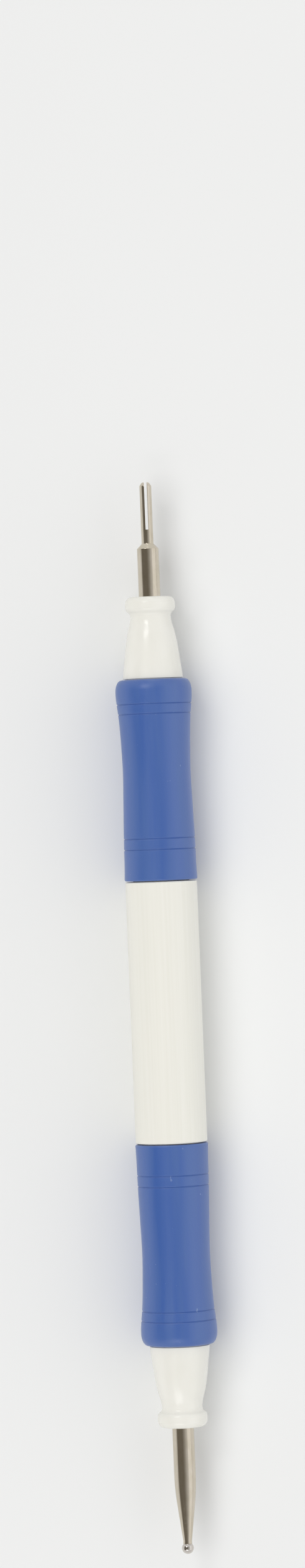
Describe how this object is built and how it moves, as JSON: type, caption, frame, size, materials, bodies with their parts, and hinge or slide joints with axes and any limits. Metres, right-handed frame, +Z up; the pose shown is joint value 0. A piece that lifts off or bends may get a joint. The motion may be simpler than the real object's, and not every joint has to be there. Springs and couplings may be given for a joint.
{
  "type": "quilling tool",
  "caption": "Double-ended paper quilling tool: a slotted winding pin at one end, a tapered ball stylus at the other, and a round handle with soft waisted grips.",
  "frame": {"origin": "on the surface that the tool lies on, under the middle of its length", "axes": "+X along the tool towards the slotted tip, +Z up, the slot upright in the XZ plane"},
  "size_m": [0.1574, 0.0112, 0.0112],
  "materials": {
    "barrel_plastic": "white, satin, as extruded",
    "nose_plastic": "white, moulded, glossy",
    "grip_rubber": "mid blue, moulded, dull sheen",
    "pin_steel": "turned bright",
    "ball_steel": "polished"
  },
  "bodies": {
    "root": {"barrel": "barrel_plastic", "slot_end_nose": "nose_plastic", "slot_end_grip": "grip_rubber", "slotted_pin": "pin_steel", "ball_end_nose": "nose_plastic", "ball_end_grip": "grip_rubber", "stylus_pin": "pin_steel", "stylus_ball": "ball_steel"}
  },
  "joints": []
}
